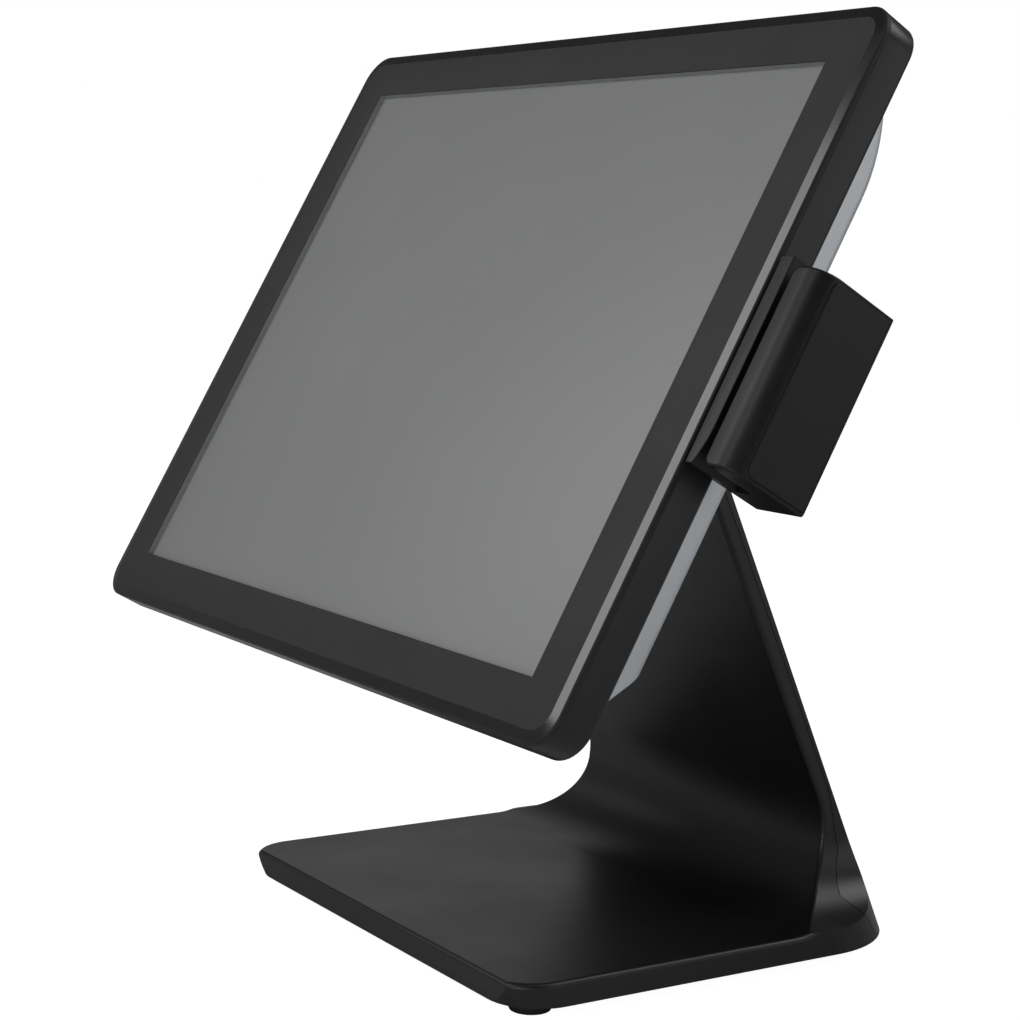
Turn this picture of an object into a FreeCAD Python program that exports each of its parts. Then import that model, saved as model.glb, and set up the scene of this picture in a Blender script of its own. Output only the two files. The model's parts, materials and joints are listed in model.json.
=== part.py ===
import FreeCAD, Part
import math
import os
import Sketcher

# A point-of-sale touchscreen terminal: a 15 inch head with a side card reader, tilting on a cast stand.
#
# Row frame: origin under the middle of the object on the surface it stands on, +X along the screen's
# width, +Y away from the user, +Z up.  Three working frames are used, each set by a body's Placement:
#   stand  x as the screen, y measured back from the screen's centre, z up from the surface
#   head   x along the screen, y up the screen, z out of the screen towards the user
#   hinge  origin on the tilt axis, z up along the leaning upright

V = FreeCAD.Vector
doc = FreeCAD.newDocument("pos_terminal")

# Driving dimensions in millimetres and degrees.
SIZES = {
    "tilt_back": 29.0,            # the screen's lean from the vertical at rest
    "screen_height": 234.5,       # screen centre above the surface
    "centre_x": 12.4,             # middle of the whole object from the screen's centre
    "centre_y": 52.7,
    "bezel_wide": 350.0,
    "bezel_tall": 270.0,
    "bezel_thick": 2.5,
    "bezel_corner": 12.5,
    "view_wide": 304.0,           # 15 inch 4:3 viewing area
    "view_tall": 228.0,
    "glass_thick": 2.5,
    "panel_thick": 6.0,
    "chassis_thick": 1.0,
    "housing_back": 15.5,         # depth of the black housing's back face
    "housing_wall": 5.0,
    "casting_wide": 320.0,
    "casting_tall": 236.0,
    "casting_back": 34.0,         # depth of the aluminium casting's back face
    "casting_wall": 4.0,
    "casting_bend": 66.0,         # radius of the casting's rounded top and bottom
    "bay_wide": 150.0,            # connector bay under the casting
    "bay_tall": 19.0,
    "axis_depth": 50.0,           # tilt axis behind the screen
    "pin_radius": 4.0,
    "foot_wide": 213.2,
    "foot_front": 27.4,
    "foot_gap": 4.2,              # height of the rubber feet
    "foot_top": 13.5,
    "foot_corner": 20.0,
    "foot_side_end": 118.0,       # where the foot's straight sides end
    "rear_corner": 46.0,
    "crown_angle": 12.3,          # half angle of the crowned back
    "sweep_radius": 32.0,         # concave sweep from foot to upright
    "sweep_y": 97.3,
    "lean": 24.5,                 # upright's lean towards the user
    "upright_wide": 163.0,
    "upright_top": 218.0,
    "upright_taper": 8.0,
    "flare_radius": 28.0,
    "lean_start": 4.2,            # height where the back begins to lean
    "reader_out": 200.0,          # reader's outer face from the screen's centre
    "reader_low": -34.0,
    "reader_high": 37.0,
    "slot_in": 183.2,             # card slot between these two planes
    "slot_out": 186.0,
    "slot_floor": 21.0,
}

sheet = doc.addObject("Spreadsheet::Sheet", "sizes")
for row, (alias, number) in enumerate(SIZES.items(), start=1):
    sheet.set(f"A{row}", alias)
    sheet.set(f"B{row}", str(number))
    sheet.setAlias(f"B{row}", alias)
doc.recompute()


class Term:
    """A number together with the spreadsheet formula that it comes from."""

    def __init__(self, number, text):
        self.number = number
        self.text = text

    def __add__(self, other):
        other = term(other)
        return Term(self.number + other.number, f"({self.text} + {other.text})")

    def __sub__(self, other):
        other = term(other)
        return Term(self.number - other.number, f"({self.text} - {other.text})")

    def __mul__(self, other):
        other = term(other)
        return Term(self.number * other.number, f"({self.text} * {other.text})")

    def __truediv__(self, other):
        other = term(other)
        return Term(self.number / other.number, f"({self.text} / {other.text})")

    def __neg__(self):
        return Term(-self.number, f"(0 - {self.text})")

    def __radd__(self, other):
        return term(other) + self

    def __rsub__(self, other):
        return term(other) - self

    def __rmul__(self, other):
        return term(other) * self


def term(value):
    return value if isinstance(value, Term) else Term(float(value), f"{float(value):.6f}")


def size(alias):
    return Term(SIZES[alias], f"sizes.{alias}")


def sine(angle):
    return Term(math.sin(math.radians(angle.number)), f"sin({angle.text} * 1 deg)")


def cosine(angle):
    return Term(math.cos(math.radians(angle.number)), f"cos({angle.text} * 1 deg)")


def half(alias):
    return size(alias) / 2


def near(first, second):
    return abs(first - second) < 0.01


# ---------------------------------------------------------------- sketch outlines
# An outline is a function that draws one closed loop in a sketch and ties it to the sheet.

def fix_point(sketch, geometry, which, x, y):
    for kind, value in (("DistanceX", x), ("DistanceY", y)):
        value = term(value)
        tie = sketch.addConstraint(Sketcher.Constraint(kind, -1, 1, geometry, which, value.number))
        sketch.setExpression(f"Constraints[{tie}]", value.text)


def polygon(*points):
    """Straight edges through points; a third entry (x, y, turn) starts an arc about that centre."""
    def draw(sketch):
        numbers = [V(term(p[0]).number, term(p[1]).number, 0) for p in points]
        edges = []
        for index, point in enumerate(points):
            start = numbers[index]
            end = numbers[(index + 1) % len(points)]
            if len(point) == 2:
                edges.append((sketch.addGeometry(Part.LineSegment(start, end), False), 1, 2, None))
                continue
            cx, cy, turn = point[2]
            centre = V(term(cx).number, term(cy).number, 0)
            first, last = (start, end) if turn > 0 else (end, start)
            angles = [math.atan2(p.y - centre.y, p.x - centre.x) for p in (first, last)]
            circle = Part.Circle(centre, V(0, 0, 1), (start - centre).Length)
            arc = sketch.addGeometry(Part.ArcOfCircle(circle, *angles), False)
            ends = (1, 2) if turn > 0 else (2, 1)
            edges.append((arc, *ends, (cx, cy)))
        for index, (edge, _, end, _) in enumerate(edges):
            following, start, _, _ = edges[(index + 1) % len(edges)]
            sketch.addConstraint(Sketcher.Constraint("Coincident", edge, end, following, start))
        for (edge, start, _, centre), point in zip(edges, points):
            if centre is None:
                fix_point(sketch, edge, start, point[0], point[1])
        for index, (edge, start, end, centre) in enumerate(edges):
            if centre is None:
                continue
            fix_point(sketch, edge, start, points[index][0], points[index][1])
            level = near(numbers[index].y, numbers[(index + 1) % len(points)].y)
            kind, value = ("DistanceY", term(centre[1])) if level else ("DistanceX", term(centre[0]))
            tie = sketch.addConstraint(Sketcher.Constraint(kind, -1, 1, edge, 3, value.number))
            sketch.setExpression(f"Constraints[{tie}]", value.text)
    return draw


def rectangle(x0, x1, y0, y1):
    return polygon((x0, y0), (x1, y0), (x1, y1), (x0, y1))


def disc(x, y, radius):
    def draw(sketch):
        radius_term = term(radius)
        centre = V(term(x).number, term(y).number, 0)
        circle = sketch.addGeometry(Part.Circle(centre, V(0, 0, 1), radius_term.number), False)
        fix_point(sketch, circle, 3, x, y)
        tie = sketch.addConstraint(Sketcher.Constraint("Radius", circle, radius_term.number))
        sketch.setExpression(f"Constraints[{tie}]", radius_term.text)
    return draw


# ---------------------------------------------------------------- bodies and features

def head_frame(body):
    body.Placement = FreeCAD.Placement(V(0, 0, 0), FreeCAD.Rotation(V(1, 0, 0), 60))
    body.setExpression("Placement.Base.x", (-size("centre_x")).text)
    body.setExpression("Placement.Base.y", (-size("centre_y")).text)
    body.setExpression("Placement.Base.z", size("screen_height").text)
    body.setExpression("Placement.Rotation.Angle", (90 - size("tilt_back")).text)


def stand_frame(body):
    body.setExpression("Placement.Base.x", (-size("centre_x")).text)
    body.setExpression("Placement.Base.y", (-size("centre_y")).text)


def hinge_frame(body):
    across = size("axis_depth") * cosine(size("tilt_back")) - size("centre_y")
    height = size("screen_height") - size("axis_depth") * sine(size("tilt_back"))
    body.Placement = FreeCAD.Placement(V(0, 0, 0), FreeCAD.Rotation(V(1, 0, 0), 20))
    body.setExpression("Placement.Base.x", (-size("centre_x")).text)
    body.setExpression("Placement.Base.y", across.text)
    body.setExpression("Placement.Base.z", height.text)
    body.setExpression("Placement.Rotation.Angle", size("lean").text)


def new_body(label, frame):
    body = doc.addObject("PartDesign::Body", label)
    body.Label = label
    frame(body)
    return body


def place_sketch(holder, sketch, plane, offset):
    origin_plane = [item for item in holder.Origin.OriginFeatures if item.Role == f"{plane}_Plane"][0]
    sketch.AttachmentSupport = [(origin_plane, "")]
    sketch.MapMode = "FlatFace"
    sketch.setExpression("AttachmentOffset.Base.z", offset.text)


def prism(body, plane, low, high, *outlines, cut=False):
    """Pad or pocket outlines between two heights along the plane's own axis."""
    low, high = term(low), term(high)
    facing = -1 if plane == "XZ" else 1          # the XZ plane's normal points along -Y
    from_high = cut == (facing == 1)
    offset = (high if from_high else low) * facing
    number = len(body.Group)
    sketch = body.newObject("Sketcher::SketchObject", f"{body.Label}_outline_{number}")
    place_sketch(body, sketch, plane, offset)
    for outline in outlines:
        outline(sketch)
    doc.recompute()
    before = body.Shape.Volume if cut else 0
    kind = "PartDesign::Pocket" if cut else "PartDesign::Pad"
    feature = body.newObject(kind, f"{body.Label}_{'cut' if cut else 'pad'}_{number}")
    feature.Profile = sketch
    feature.setExpression("Length", (high - low).text)
    doc.recompute()
    if cut and before - body.Shape.Volume < 1e-3:
        raise RuntimeError(f"{feature.Name} cuts nothing")
    return feature


def round_edges(body, radius, chosen, kind="Fillet"):
    """Fillet or chamfer the tip's edges for which chosen(edge's box) is true."""
    tip = body.Tip
    names = [
        f"Edge{number}"
        for number, edge in enumerate(tip.Shape.Edges, start=1)
        if chosen(edge.BoundBox)
    ]
    if not names:
        raise RuntimeError(f"{body.Label} has no such edges")
    feature = body.newObject(f"PartDesign::{kind}", f"{body.Label}_{kind}_{len(body.Group)}")
    feature.Base = (tip, names)
    feature.setExpression("Size" if kind == "Chamfer" else "Radius", term(radius).text)
    doc.recompute()
    return feature


def upright_edges(box):
    """Edges that run along the local z axis."""
    return near(box.XLength, 0) and near(box.YLength, 0)


def flat_at(height):
    """Edges that lie wholly at one local height."""
    return lambda box: near(box.ZMin, height) and near(box.ZMax, height)


def plate(label, frame, x, y, z, corner=0):
    """A flat rectangular piece, given by its (low, high) pairs, with rounded upright corners."""
    body = new_body(label, frame)
    prism(body, "XY", z[0], z[1], rectangle(*x, *y))
    if corner:
        round_edges(body, corner, upright_edges)
    return body


def pair(value):
    """(-value, value), for a piece centred on its axis."""
    return -term(value), term(value)


nodes = []


def keep(thing):
    nodes.append(thing)
    return thing


# ---------------------------------------------------------------- head: screen stack

bezel_back = -size("bezel_thick")
glass_back = bezel_back - size("glass_thick")
gasket_back = glass_back - 1.0
panel_back = gasket_back - size("panel_thick")
chassis_back = panel_back - size("chassis_thick")
housing_back = -size("housing_back")
casting_back = -size("casting_back")


RIM_WIDE = 4.4
RIM_DROP = 0.5


def slope_rim(body):
    """Slope the bezel's outer edge down gently, so that it leaves a broad bright rim."""
    rim = body.newObject("PartDesign::Chamfer", "rim")
    doc.recompute()
    source = body.Group[-2]
    face = flat_at(0)
    edges = [f"Edge{number}" for number, edge in enumerate(source.Shape.Edges, start=1)
             if face(edge.BoundBox)]
    rim.Base = (source, edges)
    rim.ChamferType = "Two distances"
    rim.Size = RIM_DROP
    rim.Size2 = RIM_WIDE
    body.Tip = rim


def front_bezel():
    body = plate("front_bezel", head_frame, pair(half("bezel_wide")), pair(half("bezel_tall")),
                 (bezel_back, 0), size("bezel_corner"))
    slope_rim(body)
    prism(body, "XY", bezel_back - 1, 1,
          rectangle(*pair(half("view_wide")), *pair(half("view_tall"))), cut=True)
    return body


def touch_glass():
    return plate("touch_glass", head_frame, pair(half("view_wide") + 5), pair(half("view_tall") + 5),
                 (glass_back, bezel_back), 2.0)


def touch_gasket():
    body = plate("touch_gasket", head_frame, pair(half("view_wide") + 5), pair(half("view_tall") + 5),
                 (gasket_back, glass_back))
    prism(body, "XY", gasket_back - 1, glass_back + 1,
          rectangle(*pair(half("view_wide") + 1), *pair(half("view_tall") + 1)), cut=True)
    return body


def lcd_panel():
    return plate("lcd_panel", head_frame, pair(half("view_wide") + 11), pair(half("view_tall") + 12.5),
                 (panel_back, gasket_back))


def lcd_chassis():
    body = plate("lcd_chassis", head_frame, pair(167), pair(128), (chassis_back, panel_back), 3.0)
    prism(body, "XY", chassis_back - 1, panel_back + 1, rectangle(-60, 60, -20, 60),
          rectangle(100, 140, 40, 90), cut=True)
    return body


def rear_housing():
    body = plate("rear_housing", head_frame, pair(half("bezel_wide")), pair(half("bezel_tall")),
                 (housing_back, bezel_back), size("bezel_corner"))
    round_edges(body, 2.0, flat_at(housing_back.number))
    inner_wide = half("bezel_wide") - size("housing_wall")
    inner_tall = half("bezel_tall") - size("housing_wall")
    prism(body, "XY", chassis_back, bezel_back, rectangle(*pair(inner_wide), *pair(inner_tall)), cut=True)
    prism(body, "XY", housing_back - 1, chassis_back + 1, rectangle(-150, 150, -95, 108), cut=True)
    prism(body, "YZ", -half("bezel_wide") - 1, -inner_wide + 1, disc(BUTTON_Y, BUTTON_Z, 3.9), cut=True)
    return body


BUTTON_Y = -100.0
BUTTON_Z = -8.4


def power_button():
    """A round plunger in the left side wall, kept in by a flange behind the wall."""
    body = new_body("power_button", head_frame)
    flange_face = 0.3 - (half("bezel_wide") - size("housing_wall"))
    prism(body, "YZ", -half("bezel_wide") - 0.6, flange_face, disc(BUTTON_Y, BUTTON_Z, 3.6))
    round_edges(body, 0.6, lambda box: near(box.XMax, -half("bezel_wide").number - 0.6))
    prism(body, "YZ", flange_face - 0.001, flange_face + 1.0, disc(BUTTON_Y, BUTTON_Z, 4.5))
    return body


def power_switch():
    """The small board with the dome switch that the button presses."""
    low = -half("view_wide") - 13
    along = (BUTTON_Y - 9, BUTTON_Y + 9)
    body = plate("power_switch", head_frame, (low, low + 1.6), along, (panel_back, -4.5))
    prism(body, "YZ", low - 2.4, low, disc(BUTTON_Y, BUTTON_Z + 0.5, 2.4))
    return body


# ---------------------------------------------------------------- head: cast back

def casting_section(inset):
    """Half-width, flat half-height and ends of the casting's side section, drawn inside by inset."""
    end = half("casting_tall") - inset
    radius = size("casting_bend") - inset
    flat = half("casting_tall") - 38
    centre = casting_back + size("casting_bend")
    drop = math.sqrt(radius.number ** 2 - (end.number - flat.number) ** 2)
    shoulder = centre - drop
    back = casting_back + inset
    low_flat = -half("casting_tall") + 22
    return polygon(
        (-end, housing_back), (-end, housing_back - 5), (low_flat, back), (flat, back, (flat, centre, 1)),
        (end, shoulder), (end, housing_back))


FIN_PITCH = 8.0
FIN_COUNT = 10


def rear_casting():
    body = new_body("rear_casting", head_frame)
    prism(body, "YZ", *pair(half("casting_wide")), casting_section(0))
    round_edges(body, 3.5, lambda box: near(abs(box.XMin), SIZES["casting_wide"] / 2)
                and near(box.XLength, 0) and box.ZMin < -30 and box.ZMax < -22)
    inner = half("casting_wide") - size("casting_wall")
    prism(body, "YZ", *pair(inner), casting_section(size("casting_wall")), cut=True)
    half_bay = half("bay_wide")
    bay_floor = -half("casting_tall") + size("bay_tall")
    prism(body, "XY", casting_back - 1, housing_back + 1,
          rectangle(-half_bay, half_bay, -half("casting_tall") - 1, bay_floor), cut=True)
    prism(body, "XY", casting_back + size("casting_wall"), housing_back + 1,
          rectangle(-half_bay, half_bay, bay_floor - 0.1, bay_floor + 3), cut=True)
    grooves = []
    for side in (-1, 1):
        for index in range(FIN_COUNT):
            x = side * (72 + FIN_PITCH * index)
            grooves.append(rectangle(x - 1.3, x + 1.3, -66, 72))
    prism(body, "XY", casting_back - 1, casting_back + 2.2, *grooves, cut=True)
    return body


def io_bracket():
    """Bent sheet across the connector bay: an upright face with the socket windows and a floor."""
    half_bay = half("bay_wide") - 0.2
    face = -half("casting_tall") + size("bay_tall")
    body = new_body("io_bracket", head_frame)
    prism(body, "XY", casting_back + size("casting_wall"), housing_back,
          rectangle(-half_bay, half_bay, face - 1.2, face))
    prism(body, "XY", housing_back - 1.2, housing_back,
          rectangle(-half_bay, half_bay, -half("casting_tall") + 0.5, face - 1.2))
    windows = [rectangle(x0 - 0.1, x1 + 0.1, -SOCKET_DEEP[1] - 0.1, -SOCKET_DEEP[0] + 0.1)
               for x0, x1 in SOCKETS.values()]
    prism(body, "XZ", face - 2, face + 1, *windows, cut=True)
    return body


SOCKET_DEEP = (17.0, 29.4)       # all sockets span these depths
SOCKETS = {
    "power_inlet": (-70.0, -58.0),
    "network_port": (-52.0, -36.0),
    "usb_ports": (-30.0, -0.5),
    "serial_port": (5.0, 21.0),
    "drawer_port": (27.0, 41.0),
    "line_port": (47.0, 61.0),
}


def socket(name):
    """A board socket whose mouth is flush with the bracket's face, looking down the screen."""
    x0, x1 = SOCKETS[name]
    mouth = -half("casting_tall") + size("bay_tall") - 1.2
    near_z, far_z = -SOCKET_DEEP[0], -SOCKET_DEEP[1]
    body = new_body(name, head_frame)
    prism(body, "XZ", mouth, mouth + 15.5, rectangle(x0, x1, far_z, near_z))
    if name == "power_inlet":
        middle_x, middle_z = (x0 + x1) / 2, (near_z + far_z) / 2
        prism(body, "XZ", mouth - 1, mouth + 10, disc(middle_x, middle_z, 4.0), cut=True)
        prism(body, "XZ", mouth + 1, mouth + 10.5, disc(middle_x, middle_z, 1.2))
    elif name == "usb_ports":
        for left in (x0 + 0.9, x0 + 15.4):
            prism(body, "XZ", mouth - 1, mouth + 12, rectangle(left, left + 13.1, far_z + 3.6, far_z + 9.4),
                  cut=True)
            tongue = rectangle(left + 1, left + 12.1, far_z + 7.1, far_z + 8.9)
            prism(body, "XZ", mouth + 1, mouth + 12.5, tongue)
    else:
        prism(body, "XZ", mouth - 1, mouth + 12, rectangle(x0 + 1.8, x1 - 1.8, far_z + 2.2, far_z + 10.4),
              cut=True)
    return body


def mainboard():
    face = -half("casting_tall") + size("bay_tall")
    return plate("mainboard", head_frame, (-76, 84), (face + 0.5, 62), (-17.0, -15.6), 2.0)


def board_standoffs():
    body = new_body("board_standoffs", head_frame)
    spots = [disc(x, y, 3.0) for x in (-70, 78) for y in (-76, 56)]
    prism(body, "XY", -15.6, chassis_back, *spots)
    return body


def processor():
    return plate("processor", head_frame, pair(15), (12, 42), (-18.2, -17.0))


def heat_block():
    """Aluminium block that carries the processor's heat into the cast back."""
    depth = (casting_back + size("casting_wall"), -18.2)
    return plate("heat_block", head_frame, pair(24), (3, 51), depth, 2.0)


def memory_module():
    return plate("memory_module", head_frame, (34, 70), (-55, 14), (-21.0, -17.0))


def coin_cell():
    body = new_body("coin_cell", head_frame)
    prism(body, "XY", -20.2, -17.0, disc(60, 40, 10))
    return body


def solid_state_drive():
    depth = (chassis_back - 7, chassis_back)
    return plate("solid_state_drive", head_frame, (-148.5, -78.7), (-45, 55), depth, 2.0)


def speaker():
    body = plate("speaker", head_frame, (98, 138), (-84, -58), (chassis_back - 9, chassis_back), 2.0)
    prism(body, "XY", chassis_back - 10.5, chassis_back - 9, disc(118, -71, 11))
    return body


def housing_screws():
    """Six screws from the back through the housing into the chassis."""
    spots = [(x, y) for x in (-163.3, 163.3) for y in (-105, 0, 105)]
    body = new_body("housing_screws", head_frame)
    prism(body, "XY", housing_back, panel_back - 0.2, *[disc(x, y, 1.5) for x, y in spots])
    prism(body, "XY", housing_back - 1.3, housing_back, *[disc(x, y, 2.6) for x, y in spots])
    return body


# ---------------------------------------------------------------- tilt hinge

EAR_RADIUS = 8.5
HEAD_EAR = (34.1, 37.1)
STAND_EAR = (29.0, 33.0)
WASHERS = ((33.0, 34.0), (37.2, 38.2))
SPRINGS = (38.2, 41.2)
NUT = (41.2, 46.2)


def mirrored_spans(span):
    return [(span[0], span[1]), (-span[1], -span[0])]


def head_hinge_plate():
    """Steel plate on the casting's back with two ears that turn on the pins."""
    body = plate("head_hinge_plate", head_frame, pair(60), pair(50), (casting_back - 3, casting_back), 6.0)
    axis = -size("axis_depth")
    for low, high in mirrored_spans(HEAD_EAR):
        prism(body, "YZ", low, high, rectangle(-EAR_RADIUS, EAR_RADIUS, axis, casting_back - 2))
        prism(body, "YZ", low, high, disc(0, axis, EAR_RADIUS))
    prism(body, "YZ", -60, 60, disc(0, axis, size("pin_radius") + 0.05), cut=True)
    holes = [disc(x, y, 2.2) for x in (-50, 50) for y in (-37.5, 37.5)]
    prism(body, "XY", casting_back - 4, casting_back + 1, *holes, cut=True)
    return body


def plate_screws():
    spots = [(x, y) for x in (-50, 50) for y in (-37.5, 37.5)]
    body = new_body("plate_screws", head_frame)
    prism(body, "XY", casting_back - 3, casting_back + 3, *[disc(x, y, 2.0) for x, y in spots])
    prism(body, "XY", casting_back - 5.2, casting_back - 3, *[disc(x, y, 4.0) for x, y in spots])
    round_edges(body, 0.8, flat_at(casting_back.number - 5.2))
    return body


def upright_face():
    """Distance from the tilt axis back to the upright's front face, square to that face."""
    lean = size("lean")
    axis_y = size("axis_depth") * cosine(size("tilt_back"))
    axis_z = size("screen_height") - size("axis_depth") * sine(size("tilt_back"))
    centre_z = size("foot_top") + size("sweep_radius")
    along = (size("sweep_y") - axis_y) * cosine(lean) + (centre_z - axis_z) * sine(lean)
    return along + size("sweep_radius")


def stand_hinge_bracket():
    """Steel bracket screwed to the upright's front face, with two ears that hold the pins."""
    body = new_body("stand_hinge_bracket", hinge_frame)
    face = upright_face()
    prism(body, "XZ", face - 3, face, rectangle(-55, 55, -34, 3))
    round_edges(body, 4.0, lambda box: near(box.XLength, 0) and near(box.ZLength, 0) and box.YLength > 2)
    for low, high in mirrored_spans(STAND_EAR):
        prism(body, "YZ", low, high, rectangle(0, face - 2.5, -EAR_RADIUS, 3))
        prism(body, "YZ", low, high, disc(0, 0, EAR_RADIUS))
    prism(body, "YZ", -60, 60, disc(0, 0, size("pin_radius")), cut=True)
    return body


def rounds_on_axis(label, spans, outer, inner=None):
    """Rings or discs on the tilt axis, one solid for each span and its mirror image."""
    body_shapes = []
    for span in spans:
        for low, high in mirrored_spans(span):
            body_shapes.append((low, high))
    body = doc.addObject("Part::Feature", label)
    body.Label = label
    rings = []
    for low, high in body_shapes:
        ring = Part.makeCylinder(term(outer).number, high - low, V(low, 0, 0), V(1, 0, 0))
        if inner is not None:
            bore = Part.makeCylinder(term(inner).number, high - low + 2, V(low - 1, 0, 0), V(1, 0, 0))
            ring = ring.cut(bore)
        rings.append(ring)
    body.Shape = Part.makeCompound(rings)
    hinge_frame(body)
    return body


def hinge_pins():
    body = new_body("hinge_pins", hinge_frame)
    for low, high in mirrored_spans((29.0, 47.5)):
        prism(body, "YZ", low, high, disc(0, 0, size("pin_radius")))
    for low, high in mirrored_spans((26.0, 29.0)):
        prism(body, "YZ", low, high, disc(0, 0, 6.5))
    return body


def hinge_caps():
    """Moulded caps snapped over the two nuts."""
    body = doc.addObject("Part::Feature", "hinge_caps")
    body.Label = "hinge_caps"
    caps = []
    for side in (-1, 1):
        outer = Part.makeCylinder(9.0, 9.6, V(side * 41.4, 0, 0), V(side, 0, 0))
        rim = [edge for edge in outer.Edges
               if near(abs(edge.BoundBox.XMin), 51.0) and near(edge.BoundBox.XLength, 0)]
        outer = outer.makeFillet(2.0, rim)
        caps.append(outer.cut(Part.makeCylinder(7.6, 7.6, V(side * 41.4, 0, 0), V(side, 0, 0))))
    body.Shape = Part.makeCompound(caps)
    hinge_frame(body)
    return body


def bracket_screws():
    face = upright_face()
    spots = [(x, z) for x in (-46, 46) for z in (-28, -14)]
    body = new_body("bracket_screws", hinge_frame)
    prism(body, "XZ", face - 3, face + 3.5, *[disc(x, z, 2.0) for x, z in spots])
    prism(body, "XZ", face - 5.2, face - 3, *[disc(x, z, 4.0) for x, z in spots])
    return body


# ---------------------------------------------------------------- stand casting and its cover
# The whole stand is what three long prisms share: its side profile, its front silhouette and its plan.
# A slanting seam then parts it into the front casting and the rear cable cover.

def loose_sketch(label, plane, offset, outline):
    """A sketch of its own on a row plane, for an extrusion."""
    turns = {
        "XY": FreeCAD.Rotation(),
        "YZ": FreeCAD.Rotation(V(0, 1, 0), V(0, 0, 1), V(1, 0, 0), "ZXY"),
        "XZ": FreeCAD.Rotation(V(1, 0, 0), 90),
    }
    normals = {"XY": V(0, 0, 1), "YZ": V(1, 0, 0), "XZ": V(0, -1, 0)}
    sketch = doc.addObject("Sketcher::SketchObject", label)
    sketch.Placement = FreeCAD.Placement(normals[plane] * offset, turns[plane])
    outline(sketch)
    return sketch


def extrusion(label, plane, offset, length, outline, direction=None):
    sketch = loose_sketch(f"{label}_outline", plane, offset, outline)
    normals = {"XY": V(0, 0, 1), "YZ": V(1, 0, 0), "XZ": V(0, -1, 0)}
    solid = doc.addObject("Part::Extrusion", label)
    solid.Base = sketch
    solid.DirMode = "Custom"
    solid.Dir = direction or normals[plane]
    solid.Solid = True
    solid.LengthFwd = term(length).number
    if isinstance(length, Term):
        solid.setExpression("LengthFwd", length.text)
    return solid


def combine(kind, label, *parts):
    joined = doc.addObject(f"Part::{kind}", label)
    if kind == "Cut":
        joined.Base, joined.Tool = parts
    else:
        joined.Shapes = list(parts)
    return joined


LEAN_TAN = math.tan(math.radians(SIZES["lean"]))


def lean_back(y, height, other):
    """The y that a point leaning with the upright has at another height."""
    return y - (other - height) * LEAN_TAN


def front_tangent(extra):
    """Where the sweep, drawn larger by extra, runs into the leaning front face."""
    radius = size("sweep_radius") + extra
    y = size("sweep_y") + radius * cosine(size("lean"))
    z = size("foot_top") + size("sweep_radius") + radius * sine(size("lean"))
    return y, z


def plan_points():
    """The stand's plan: square sides, rounded corners and a crowned back."""
    side = half("foot_wide")
    corner = size("rear_corner")
    crown = size("crown_angle")
    end_x = side - corner + corner * sine(crown)
    end_y = size("foot_side_end") + corner * cosine(crown)
    crown_radius = end_x / sine(crown)
    crown_centre = end_y - crown_radius * cosine(crown)
    return side, corner, end_x, end_y, crown_centre, crown_radius


def plan_outline(shift=0.0):
    side, corner, end_x, end_y, crown_centre, _ = plan_points()
    front = -size("foot_front")
    bend = size("foot_corner")
    side_end = size("foot_side_end")
    return polygon(
        (-side + bend, front + shift), (side - bend, front + shift, (side - bend, front + bend + shift, 1)),
        (side, front + bend + shift), (side, side_end + shift, (side - corner, side_end + shift, 1)),
        (end_x, end_y + shift, (0.0, crown_centre + shift, 1)),
        (-end_x, end_y + shift, (-side + corner, side_end + shift, 1)),
        (-side, side_end + shift), (-side, front + bend + shift, (-side + bend, front + bend + shift, 1)))


def rear_envelope(label, shift):
    """The plan carried straight up, then leaning with the upright."""
    start = size("lean_start")
    low = extrusion(f"{label}_low", "XY", -5.0, start + 5.0, plan_outline(shift))
    lean = math.radians(SIZES["lean"])
    direction = V(0, -math.sin(lean), math.cos(lean))
    high = extrusion(f"{label}_high", "XY", SIZES["lean_start"], 260.0, plan_outline(shift), direction)
    return combine("MultiFuse", label, low, high)


def stand_envelope():
    foot_top = size("foot_top")
    sweep_z = foot_top + size("sweep_radius")
    tangent_y, tangent_z = front_tangent(0)
    top = size("upright_top")
    top_front = tangent_y - (top - tangent_z) * LEAN_TAN
    profile = polygon(
        (-size("foot_front"), size("foot_gap")), (200.0, size("foot_gap")), (200.0, top), (top_front, top),
        (tangent_y, tangent_z, (size("sweep_y"), sweep_z, -1)), (size("sweep_y"), foot_top),
        (-size("foot_front"), foot_top))
    side = extrusion("stand_side", "YZ", -110.0, 220.0, profile)
    flare = size("flare_radius")
    narrow = half("upright_wide")
    edge = half("foot_wide")
    reach = flare + narrow - edge
    drop = math.sqrt(flare.number ** 2 - reach.number ** 2)
    flare_low = size("foot_top") + 0.6
    flare_z = flare_low + drop
    top_half = narrow - size("upright_taper") / 2
    silhouette = polygon(
        (-edge, -5.0), (edge, -5.0), (edge, flare_low, (narrow + flare, flare_z, -1)), (narrow, flare_z),
        (top_half, top + 5), (-top_half, top + 5), (-narrow, flare_z, (-narrow - flare, flare_z, -1)),
        (-edge, flare_low))
    front = extrusion("stand_front", "XZ", -200.0, 300.0, silhouette)
    return combine("MultiCommon", "stand_block", side, front, rear_envelope("stand_plan", 0.0))


def seam_prism(label, shift):
    """Everything in front of the seam between casting and cover."""
    _, _, _, end_y, _, _ = plan_points()
    rear = end_y - 5.6 + shift
    top = 240.0
    knee = 60.0
    knee_y = rear - (knee - size("lean_start")) * LEAN_TAN
    top_y = rear - (top - size("lean_start")) * LEAN_TAN
    return extrusion(label, "YZ", -120.0, 240.0, polygon(
        (-60.0, -5.0), (154.0 + shift, -5.0), (131.3 + shift, 21.3), (136.8 + shift, 37.0),
        (knee_y, knee), (top_y, top), (-60.0, top)))


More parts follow.
